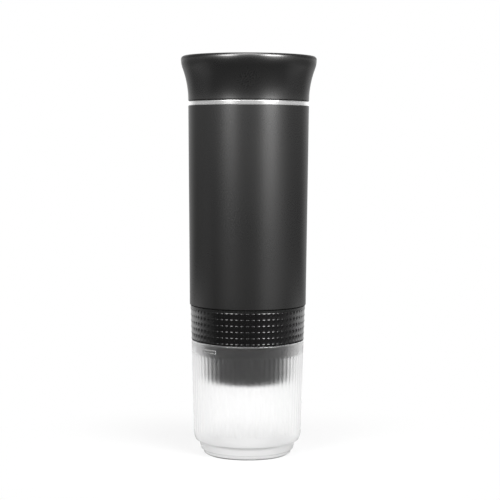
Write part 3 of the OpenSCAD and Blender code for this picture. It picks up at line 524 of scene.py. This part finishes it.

# %% [markdown]
# The plastic is frosted: all light goes through, but the rough surface scatters it, so the dark outlet
# behind is blurred. A cloudy bulk would need a volume, which is slow and adds little here. The foot and
# the shoulder above it are painted darker, and a dark line is painted on the foot's ledge: painted shade.
# A thin strip under the rim is polished and draws a bright line below the grip band.

# %% The clear finish of the cup
cup_clear, at = finish("cup frosted clear", IOR=1.25, Transmission_Weight=1.0, Coat_Roughness=0.30,
                       Coat_IOR=1.9)
cup_fine = grain(at, 1.6 * mm, 3)
_, _, z = axes(at)
polish = between(z, cup_high - 1.1 * mm, cup_high - 0.7 * mm, "LINEAR")
covered = between(z, cup_high - 0.3 * mm, cup_high - 0.1 * mm, "LINEAR")
# Painted shade: the foot and the shoulder are darker in the base colour, and a dark line is painted on the
# foot's ledge.
foot_painted_shade, shoulder_painted_shade, ledge_painted_shade = 0.28, 0.08, 0.55
foot_shade_mask = 1 - between(z, 2.4 * mm, 6.0 * mm)
shoulder_shade_mask = 1 - between(z, 8.5 * mm, 12.0 * mm)
ledge_shade_line = between(z, 1.6 * mm, 2.1 * mm) * (1 - between(z, 2.5 * mm, 3.0 * mm))
# Tone of the plastic: a slow grain, less the painted shade of the foot, the shoulder and the ledge line.
clear = (0.975 + grain(at, 20 * mm) * 0.025 - foot_shade_mask * foot_painted_shade - shoulder_shade_mask * shoulder_painted_shade
         - ledge_shade_line * ledge_painted_shade)
feed(cup_clear,
     Base_Color=shades(clear, grey(0.70), grey(1.0)),
     Roughness=0.48 + cup_fine * 0.08,
     Coat_Weight=polish * (1 - covered))
settle(cup, "cup", "cup_clear", cup_clear, "cup")

# %% [markdown]
# Inside its mouth the cup has three helical lugs that catch those of the brew head. Each is a small
# trapezoid carried along a helix: as it goes round the axis it climbs by the lead of the thread.

# %% Lugs in the cup's mouth
def helical_lug(name, root, tip, start_level, start_angle, arc=50.0, lead=24 * mm, height=1.4 * mm):
    """Trapezoid section from root inwards to tip, carried round the axis and up by lead per turn."""
    bevel = 0.3 * mm
    section = np.array([[root, height], [tip, height - bevel], [tip, bevel], [root, 0]])
    turn = np.radians(np.linspace(0, arc, 28))
    angle = turn + math.radians(start_angle)
    r, z = section[:, :1], section[:, 1:] + start_level + lead * turn / (2 * math.pi)
    rings = np.stack([r * np.cos(angle), r * np.sin(angle), z], axis=-1).transpose(1, 0, 2)[:, ::-1]
    return ring_mesh(name, rings, [rings[0].mean(axis=0), rings[-1].mean(axis=0)])


lug_count, lug_level = 3, 62.5 * mm
lug_root, lug_tip = socket_r + 0.2 * mm, socket_r - 1.3 * mm
for number in range(lug_count):
    start_angle = 360 / lug_count * number
    lug = helical_lug("cup_lug_%d" % (number + 1), lug_root, lug_tip, lug_level, start_angle)
    settle(lug, "cup", "cup_clear", cup_clear)

# %% [markdown]
# ## Turn arrow
#
# A small hollow arrow stands out of the smooth band near the left and shows which way the cup turns. It
# is a closed outline laid on the round wall: its path is a flat arrow whose width is wrapped round the
# axis, and the line itself has a low rounded section.

# %% The arrow's outline on the cup
arrow_middle = math.radians(-90 - 42.5)
arrow_level, arrow_half = 64.6 * mm, 5.3 * mm
arrow_corners = np.array([[-1.0, 0.0], [-0.62, 1.75], [-0.62, 0.9], [1.0, 0.9], [1.0, -0.9], [-0.62, -0.9],
                          [-0.62, -1.75]]) * [arrow_half, mm]
edge_share = np.linspace(0, 1, 14, endpoint=False)
path = (arrow_corners[:, None] * (1 - edge_share)[:, None]
        + np.roll(arrow_corners, -1, axis=0)[:, None] * edge_share[:, None]).reshape(-1, 2)
forwards = np.roll(path, -1, axis=0) - np.roll(path, 1, axis=0)
forwards /= np.linalg.norm(forwards, axis=1)[:, None]
sideways = np.stack([forwards[:, 1], -forwards[:, 0]], axis=-1)
line_half, line_rise = 0.28 * mm, 0.2 * mm
section = np.array([[-1.0, -0.5], [-0.7, 0.7], [0.0, 1.0], [0.7, 0.7], [1.0, -0.5]]) * [line_half, line_rise]
laid_out = path[None] + section[:, :1, None] * sideways[None]
arrow_z = arrow_level + laid_out[..., 1]
arrow_r = side_r(arrow_z) + section[:, 1:]
arrow_t = arrow_middle + laid_out[..., 0] / cup_r
arrow = ring_mesh("turn_arrow", np.stack([arrow_r * np.cos(arrow_t), arrow_r * np.sin(arrow_t), arrow_z],
                                         axis=-1)[::-1])

# %% The arrow's finish
arrow_frost, at = finish("arrow frosted white", IOR=1.49, Transmission_Weight=0.5)
arrow_fine = grain(at, 0.5 * mm, 2)
feed(arrow_frost,
     Base_Color=shades(arrow_fine, grey(0.50), grey(0.62)),
     Roughness=0.35 + arrow_fine * 0.2,
     Normal=dents(arrow_fine, 0.01 * mm, 0.4))
settle(arrow, "cup", "cup_clear", arrow_frost)

# %% [markdown]
# ## Finishes of the solids
#
# The remaining solids keep their shape: the body shell, the brew head with its flange and lugs, the
# controls at the back and everything inside. Each takes the finish of its place in the record. A handful
# of recipes is enough, each with its own colour, size of grain and depth.

# %% Recipes for plastics, rubbers and metals
def moulded(name, dark, light, rough, size=0.4 * mm, depth=0.012 * mm, **settled):
    """Moulded surface: slow drift of colour, fine grain in roughness and relief."""
    material, at = finish(name, **settled)
    fine = grain(at, size, 3)
    return feed(material, Base_Color=shades(grain(at, 16 * mm), dark, light),
                Roughness=rough + fine * 0.12, Normal=dents(fine, depth, 0.5))


def turned_metal(name, dark, light, rough, rings_per_metre=3200, slant=1.3):
    """Turned or spun metal: fine rings about the axis, from radius + slant times level."""
    material, at = finish(name, Metallic=1.0)
    x, y, z = axes(at)
    rings = at.node("ShaderNodeTexNoise", {"noise_dimensions": "1D"},
                    {"W": (x * x + y * y) ** 0.5 + z * slant, "Scale": rings_per_metre, "Detail": 2})
    return feed(material, Base_Color=shades(rings, dark, light), Roughness=rough + rings * 0.12,
                Normal=dents(rings, 0.004 * mm, 0.4))


def sleeved_cell(name, sleeve_dark, sleeve_light, middle=149.4 * mm, sleeve_half=31.6 * mm):
    """Battery cell: a coloured sleeve with bare metal at both ends, told apart by level."""
    material, at = finish(name, IOR=1.5)
    _, _, z = axes(at)
    ends = between(at.math("ABSOLUTE", z - middle), sleeve_half, sleeve_half + 0.1 * mm, "LINEAR")
    fine = grain(at, 0.5 * mm)
    sleeve = shades(grain(at, 12 * mm), sleeve_dark, sleeve_light)
    metal = (*grey(0.6), 1)
    colour = at.node("ShaderNodeMix", {"data_type": "RGBA"}, {0: ends, 6: sleeve, 7: metal}, out=2)
    return feed(material, Base_Color=colour, Metallic=ends, Roughness=0.28 + fine * 0.1,
                Normal=dents(fine, 0.01 * mm, 0.3))


def circuit(name, tracks_per_metre=120.0):
    """Solder mask over copper: square tracks that shine through as a lighter green."""
    material, at = finish(name, IOR=1.5)
    upright = at.node("ShaderNodeMapping", {}, {"Vector": at, "Rotation": (math.pi / 2, 0, 0)})
    tracks = at.node("ShaderNodeTexBrick", {"offset": 0.37, "squash": 0.6, "squash_frequency": 3},
                     {"Vector": upright, "Scale": tracks_per_metre, "Mortar Size": 0.05}, out="Fac")
    return feed(material, Base_Color=shades(tracks, (0.010, 0.10, 0.035), (0.03, 0.24, 0.09)),
                Roughness=0.3 + grain(at, 0.7 * mm) * 0.1, Normal=dents(tracks, 0.03 * mm, 0.5))

# %% [markdown]
# The body shell's paint is the largest surface in view. Matt paint is never quite even: it has a soft
# grain like orange peel, and its tone and sheen drift a little over the height.

# %% The body's matt paint
body_paint, at = finish("body matt black", Metallic=1.0, Specular_Tint=satin_edge)
peel, paint_slow = grain(at, 0.45 * mm, 3), grain(at, 26 * mm, 2, (1, 1, 0.5))
feed(body_paint,
     Base_Color=shades(paint_slow, grey(0.112), grey(0.128, 0.01)),
     Roughness=0.24 + peel * 0.05 + paint_slow * 0.03,
     Normal=dents(peel, 0.010 * mm, 0.4))

# %% A finish for every place in the record
finishes = {
    "cup_clear": cup_clear, "grip_black": band_gloss, "lid_black": lid_satin, "lid_disc": disc_matt,
    "ring": ring_metal, "body_black": body_paint,
    "seal": moulded("seal silicone", grey(0.07), grey(0.10), 0.55, 0.7 * mm, 0.02 * mm, IOR=1.42),
    "head_black": moulded("head gloss black", grey(0.005), grey(0.009), 0.18, 0.35 * mm, 0.004 * mm, IOR=1.5),
    "steel": turned_metal("stainless steel", grey(0.52), grey(0.66, 0.01), 0.24),
    "inner_plastic": moulded("inner plastic", grey(0.075), grey(0.105), 0.42, IOR=1.48),
    "heater": turned_metal("heater brass", (0.48, 0.31, 0.16), (0.62, 0.42, 0.22), 0.32),
    "thermostat": moulded("thermostat ceramic", (0.74, 0.72, 0.64), (0.84, 0.82, 0.75), 0.4, IOR=1.5),
    "hose": moulded("hose silicone", grey(0.62, 0.02), grey(0.74, 0.02), 0.4, 0.8 * mm, IOR=1.42,
                    Subsurface_Weight=0.15),
    "cell": sleeved_cell("cell sleeve green", (0.03, 0.22, 0.15), (0.05, 0.33, 0.22)),
    "post": turned_metal("post aluminium", grey(0.55), grey(0.68), 0.3),
    "board": circuit("board green"),
    "light": moulded("light diffuser", grey(0.78), grey(0.88), 0.3, 0.5 * mm, 0.006 * mm, IOR=1.49,
                     Subsurface_Weight=0.25),
    "control_black": moulded("control soft black", grey(0.022), grey(0.032), 0.5, 0.3 * mm, 0.015 * mm,
                             IOR=1.45),
    "bezel": moulded("bezel satin black", grey(0.016), grey(0.024), 0.26, 0.3 * mm, 0.008 * mm, IOR=1.48),
}
for subpart in frame["record"]["subparts"]:
    solid = frame["nodes"][subpart["node"]]
    solid.data.materials.clear()
    solid.data.materials.append(finishes[subpart["material_slot"]])

# %% [markdown]
# ## Button on the back
#
# The power button and the light ring round it sit in the body's round wall, so their faces follow it. They
# could be cut out of the wall's own surface, but rings of points about the button's axis are simpler: the
# rings in front take their depth from the wall's radius, and those behind lie in a flat plane. A dish for
# the thumb is pressed into the button, and the edges in front are rounded.

# %% Rings that follow the wall
button_low, button_high = (np.array(corner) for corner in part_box("power_button"))
light_low, light_high = (np.array(corner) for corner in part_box("light_ring"))
button_level = (button_low[2] + button_high[2]) / 2
light_out, flange_out = light_high[0], button_high[0]
light_in, button_out = light_out - 1.6 * mm, light_out - 1.9 * mm
body_slope, proud = 1.1 * mm / (body_high - body_low), 0.4 * mm


def wall_face(x, z):
    """How far back the wall's face lies: its radius grows evenly with the level, and y = sqrt(r^2 - x^2)."""
    return np.sqrt((body_r + (z - body_high) * body_slope + proud) ** 2 - x ** 2)


def set_in_wall(name, profile, pole_depths=None, steps=96):
    """Rings about the button's axis from rows of radius, depth and a switch: a depth with the switch at 1
    counts from the wall's face, one with the switch at 0 from the body's axis."""
    radius, depth, on_face = (column[:, None] for column in profile.T)
    turn = np.arange(steps) * 2 * math.pi / steps
    x, z = -radius * np.cos(turn), button_level + radius * np.sin(turn)
    rings = np.stack([x, depth + on_face * wall_face(x, z), z], axis=-1)
    poles = [[0, depth, button_level] for depth in pole_depths] if pole_depths is not None else None
    return ring_mesh(name, rings, poles)


def rounded_rim(radius, edge, way):
    """Rows of a quarter circle that leaves the side at a radius and turns inwards (-1) or outwards (+1)."""
    angle = np.linspace(0, math.pi / 2, 7)
    return np.stack([radius + way * edge * (1 - np.cos(angle)), edge * (np.sin(angle) - 1),
                     np.ones_like(angle)], axis=-1)

# %% The button with its dish
flange_h, button_edge, button_side = 0.8 * mm, 0.4 * mm, 1.0 * mm
dish, dish_r = 0.5 * mm, np.linspace(button_out - 0.75 * mm, 0.4 * mm, 24)
dish_rows = np.stack([dish_r, -dish * (1 - (dish_r / button_out) ** 2) ** 2, np.ones_like(dish_r)], axis=-1)
button_back = button_low[1]
button_rows = np.vstack([
    [[flange_out, button_back, 0], [flange_out, button_back + flange_h, 0],
     [button_out, button_back + flange_h, 0], [button_out, -button_side, 1]],
    rounded_rim(button_out, button_edge, -1), dish_rows])
button = set_in_wall("power_button_dished", button_rows,
                     [button_back, wall_face(0, button_level) - dish])
settle(button, "power_button", "control_black", finishes["control_black"], "power_button")

# %% The light ring round the button
light_edge, light_side, light_back = 0.35 * mm, 0.8 * mm, light_low[1]
light_rows = np.vstack([
    [[light_out, light_back, 0], [light_out, -light_side, 1]], rounded_rim(light_out, light_edge, -1),
    rounded_rim(light_in, light_edge, 1)[::-1], [[light_in, -light_side, 1], [light_in, light_back, 0]]])
settle(set_in_wall("light_ring_rounded", light_rows), "housing", "light", finishes["light"], "light_ring")
print("button of", round(2 * button_out / mm, 1), "mm in a light ring of", round(2 * light_out / mm, 1), "mm")

# %% [markdown]
# ## Floor
#
# The machine stands on a plain white floor. To the camera the floor is nearly its own white, with a share
# of real light near the machine and a soft shade under the foot. What the gloss surfaces mirror of it is
# set apart from that: in a studio, dark cards in front keep black plastic black, and light ones beside and
# behind draw its edges. Cards could be modelled, but a level for each place on the floor is easier to
# tune. Rays are told apart by the way they came: straight or through the cup, mirrored, or scattered.

# %% Kinds of rays and levels of light
def ray_kinds(start):
    """Two switches: 1 for rays straight from the camera or through the clear cup, 1 for mirrored rays."""
    camera_ray = start.node("ShaderNodeLightPath", out="Is Camera Ray")
    through = camera_ray.other("Transmission Depth")
    return camera_ray.math("MINIMUM", camera_ray + through, 1.0), camera_ray.other("Is Glossy Ray")


def white_light(level, most=2.0):
    """Colour of white light whose level runs from 0 to most."""
    return shades(level * (1 / most), grey(0.0), grey(most))

# %% The floor's plane
floor_half_w, floor_front, floor_back = 2.5, -0.16, 3.5
floor_mesh = bpy.data.meshes.new("floor")
floor_mesh.from_pydata([[-floor_half_w, floor_front, 0], [floor_half_w, floor_front, 0],
                        [floor_half_w, floor_back, 0], [-floor_half_w, floor_back, 0]], [], [[0, 1, 2, 3]])
floor = bpy.data.objects.new("floor", floor_mesh)
bpy.context.collection.objects.link(floor)
floor_white = bpy.data.materials.new("floor white")
floor_white.use_nodes = True
floor_mesh.materials.append(floor_white)
tree = floor_white.node_tree
tree.nodes.clear()
start = Sock(tree)
seen, glossy = ray_kinds(start)
x, y, _ = axes(start.node("ShaderNodeTexCoord", out="Object"))
distance = (x * x + y * y) ** 0.5
heading = distance.math("DIVIDE", y, distance)
print("floor", 2 * floor_half_w, "m wide and", floor_back - floor_front, "m deep")

# %% [markdown]
# The heading is -1 in front of the machine, 0 beside it and 1 behind it. Mirrored, the floor is dark near
# the foot. Further out it is lighter beside and behind, and lighter still to rays that meet it at a flat
# angle: those come from the grip band, while the lid's flare looks down more steeply.

# %% The floor as gloss surfaces mirror it
near_level = 0.12
middle_front, middle_side, middle_sheen, middle_dip = 0.16, 0.14, 1.36, 0.86
far_front, far_back = 0.09, 0.66
facing = start.node("ShaderNodeLayerWeight", {}, {"Blend": 0.5}, out="Facing")
flat_angle = between(facing, 0.81, 0.865)
beside = between(heading, -0.25, 0.55)
behind = between(heading, 0.5, 0.92)
straight_behind = between(heading, 0.5, 0.95)
sheen = flat_angle * (middle_sheen - straight_behind * middle_dip)
middle_level = middle_front + beside * (middle_side + sheen)
far_level = far_front + behind * far_back
to_middle, to_far = between(distance, 0.40, 0.48), between(distance, 0.70, 0.78)
mirror_level = near_level + to_middle * (middle_level + to_far * (far_level - middle_level))
print("mirrored floor:", near_level, "at the foot,", near_level + far_front + far_back, "far behind")

# %% [markdown]
# The shade under the foot is soft further in and firm along the foot's edge. It is widest and darkest in
# front, where the camera looks into the gap, and thins out towards the sides.

# %% The floor as the camera sees it
soft_shade, firm_shade, front_shade, side_inset = 0.25, 0.40, 0.35, 1.5 * mm
in_front = 1 - between(heading, -0.95, -0.40)
soft_part = between(distance, 12 * mm, 24 * mm) * soft_shade
firm_part = between(distance, 23.0 * mm, 25.6 * mm) * (firm_shade + in_front * front_shade)
edge_place = distance + between(heading, -0.95, -0.3) * side_inset
shade = (soft_part + firm_part) * (1 - between(edge_place, 27.2 * mm, 28.5 * mm))
lit_share = 0.20
far_out = between(distance, 50 * mm, 170 * mm)
plain_share = seen * (1 - lit_share + far_out * lit_share) + (1 - seen) * glossy
lit = start.node("ShaderNodeBsdfDiffuse", {}, {"Color": (*grey(0.82), 1)})
plain_level = seen * (1 - shade) + (1 - seen) * mirror_level
plain = start.node("ShaderNodeEmission", {}, {"Color": white_light(plain_level), "Strength": 1.0})
shown = start.node("ShaderNodeMixShader", {}, {0: plain_share, 1: lit, 2: plain})
tree.links.new(shown.socket, tree.nodes.new("ShaderNodeOutputMaterial").inputs["Surface"])
print("shade under the foot of", soft_shade + firm_shade + front_shade, "in front")

# %% [markdown]
# ## Studio
#
# The room runs to white for the camera and gives an even, low light to everything. Mirrored, it is bright
# above the horizon in front and dark below, dim at the sides with a thin lighter strip, and light behind,
# so that the upright sides of the machine end in a soft bright edge.

# %% The studio all round
world = bpy.data.worlds.new("studio")
bpy.context.scene.world = world
world.use_nodes = True
tree = world.node_tree
start = Sock(tree)
seen, glossy = ray_kinds(start)
x, y, z = axes(start.node("ShaderNodeTexCoord", out="Generated"))
room_level = 0.25
dark_front, low_drop, right_glow, upper_glow = 0.12, 0.05, 0.3, 0.55
dim_side, back_glow, strip_glow = 0.19, 0.62, 0.44
upper, sideways_on = between(z, -0.03, 0.06), between(y, -0.42, -0.1)
low_right = between(x, 0.3, 0.6) * (1 - upper) * between(z, -0.2, -0.08)
strip = between(z, -0.005, 0.01) * (1 - between(z, 0.05, 0.07))
ahead = dark_front - between(z, -0.30, -0.16) * low_drop + low_right * right_glow + upper * upper_glow
aside = dim_side + between(y, 0.5, 0.92) * back_glow + strip * strip_glow
mirror_level = ahead + sideways_on * (aside - ahead)
level = seen + (1 - seen) * (glossy * mirror_level + (1 - glossy) * room_level)
tree.links.new(white_light(level).socket, tree.nodes["Background"].inputs["Color"])
print("studio with a room level of", room_level)

# %% [markdown]
# Two tall soft boxes stand in front, to the left and the right, and draw the two upright sheens on the
# body. A third hangs over the machine and lights the lid's lip and the tops of the studs. Real soft boxes
# are brightest in the middle, so their light fades towards the sides and the lower end.

# %% Soft boxes
def soft_box(name, azimuth, distance, level, width, height, radiance, aim_level=0.16):
    """Area lamp that faces the machine and fades to its sides and its lower end; its power is radiance
    times pi times its area."""
    lamp = bpy.data.lights.new(name, "AREA")
    lamp.shape, lamp.size, lamp.size_y = "RECTANGLE", width, height
    lamp.energy = radiance * math.pi * width * height
    lamp.use_nodes = True
    across, up, _ = axes(Sock(lamp.node_tree).node("ShaderNodeNewGeometry", out="Parametric"))
    fade = across * (1 - across) * 4.0 * between(up, 0.0, 0.5)
    emission = lamp.node_tree.nodes["Emission"]
    lamp.node_tree.links.new(shades(fade, grey(0), grey(1)).socket, emission.inputs["Color"])
    box = bpy.data.objects.new(name, lamp)
    turn = math.radians(azimuth)
    box.location = (distance * math.sin(turn), -distance * math.cos(turn), level)
    tilt = math.atan2(level - aim_level, distance)
    box.rotation_euler = (math.pi / 2 - tilt, 0, turn)
    box.visible_camera = False
    box.visible_transmission = False
    bpy.context.collection.objects.link(box)
    print(name, "gives", round(lamp.energy, 2), "W")


soft_box("soft_box_left", azimuth=-36, distance=1.15, level=0.66, width=0.7, height=0.95, radiance=10.0)
soft_box("soft_box_right", azimuth=42, distance=1.15, level=0.66, width=0.8, height=0.95, radiance=15.0)
soft_box("soft_box_over", azimuth=0, distance=0.5, level=1.25, width=1.2, height=0.8, radiance=4.5)

# %% [markdown]
# ## Camera
#
# The photograph was taken with a long lens from a little above the middle of the machine. The camera was
# fitted to its edges: the ellipses of the seams give the height, and the outline gives the distance. The
# machine leans a quarter of a degree in the picture, so the camera is rolled by as much about its own
# line of sight.

# %% Set the camera
sensor_mm, focal_pixels, picture_pixels = 36.0, 1419.6, 500
look_down, roll = 4.33, 0.26
lens = bpy.data.cameras.new("camera")
lens.sensor_width, lens.lens = sensor_mm, sensor_mm * focal_pixels / picture_pixels
lens.clip_end = 20
camera = bpy.data.objects.new("camera", lens)
camera.location = (0.0012, -0.8600, 0.1885)
aim = Matrix.Rotation(math.radians(90 - look_down), 3, "X") @ Matrix.Rotation(math.radians(roll), 3, "Z")
camera.rotation_euler = aim.to_euler()
bpy.context.collection.objects.link(camera)
bpy.context.scene.camera = camera
bpy.context.scene.view_settings.view_transform = "Standard"
print("lens of", round(lens.lens, 1), "mm")
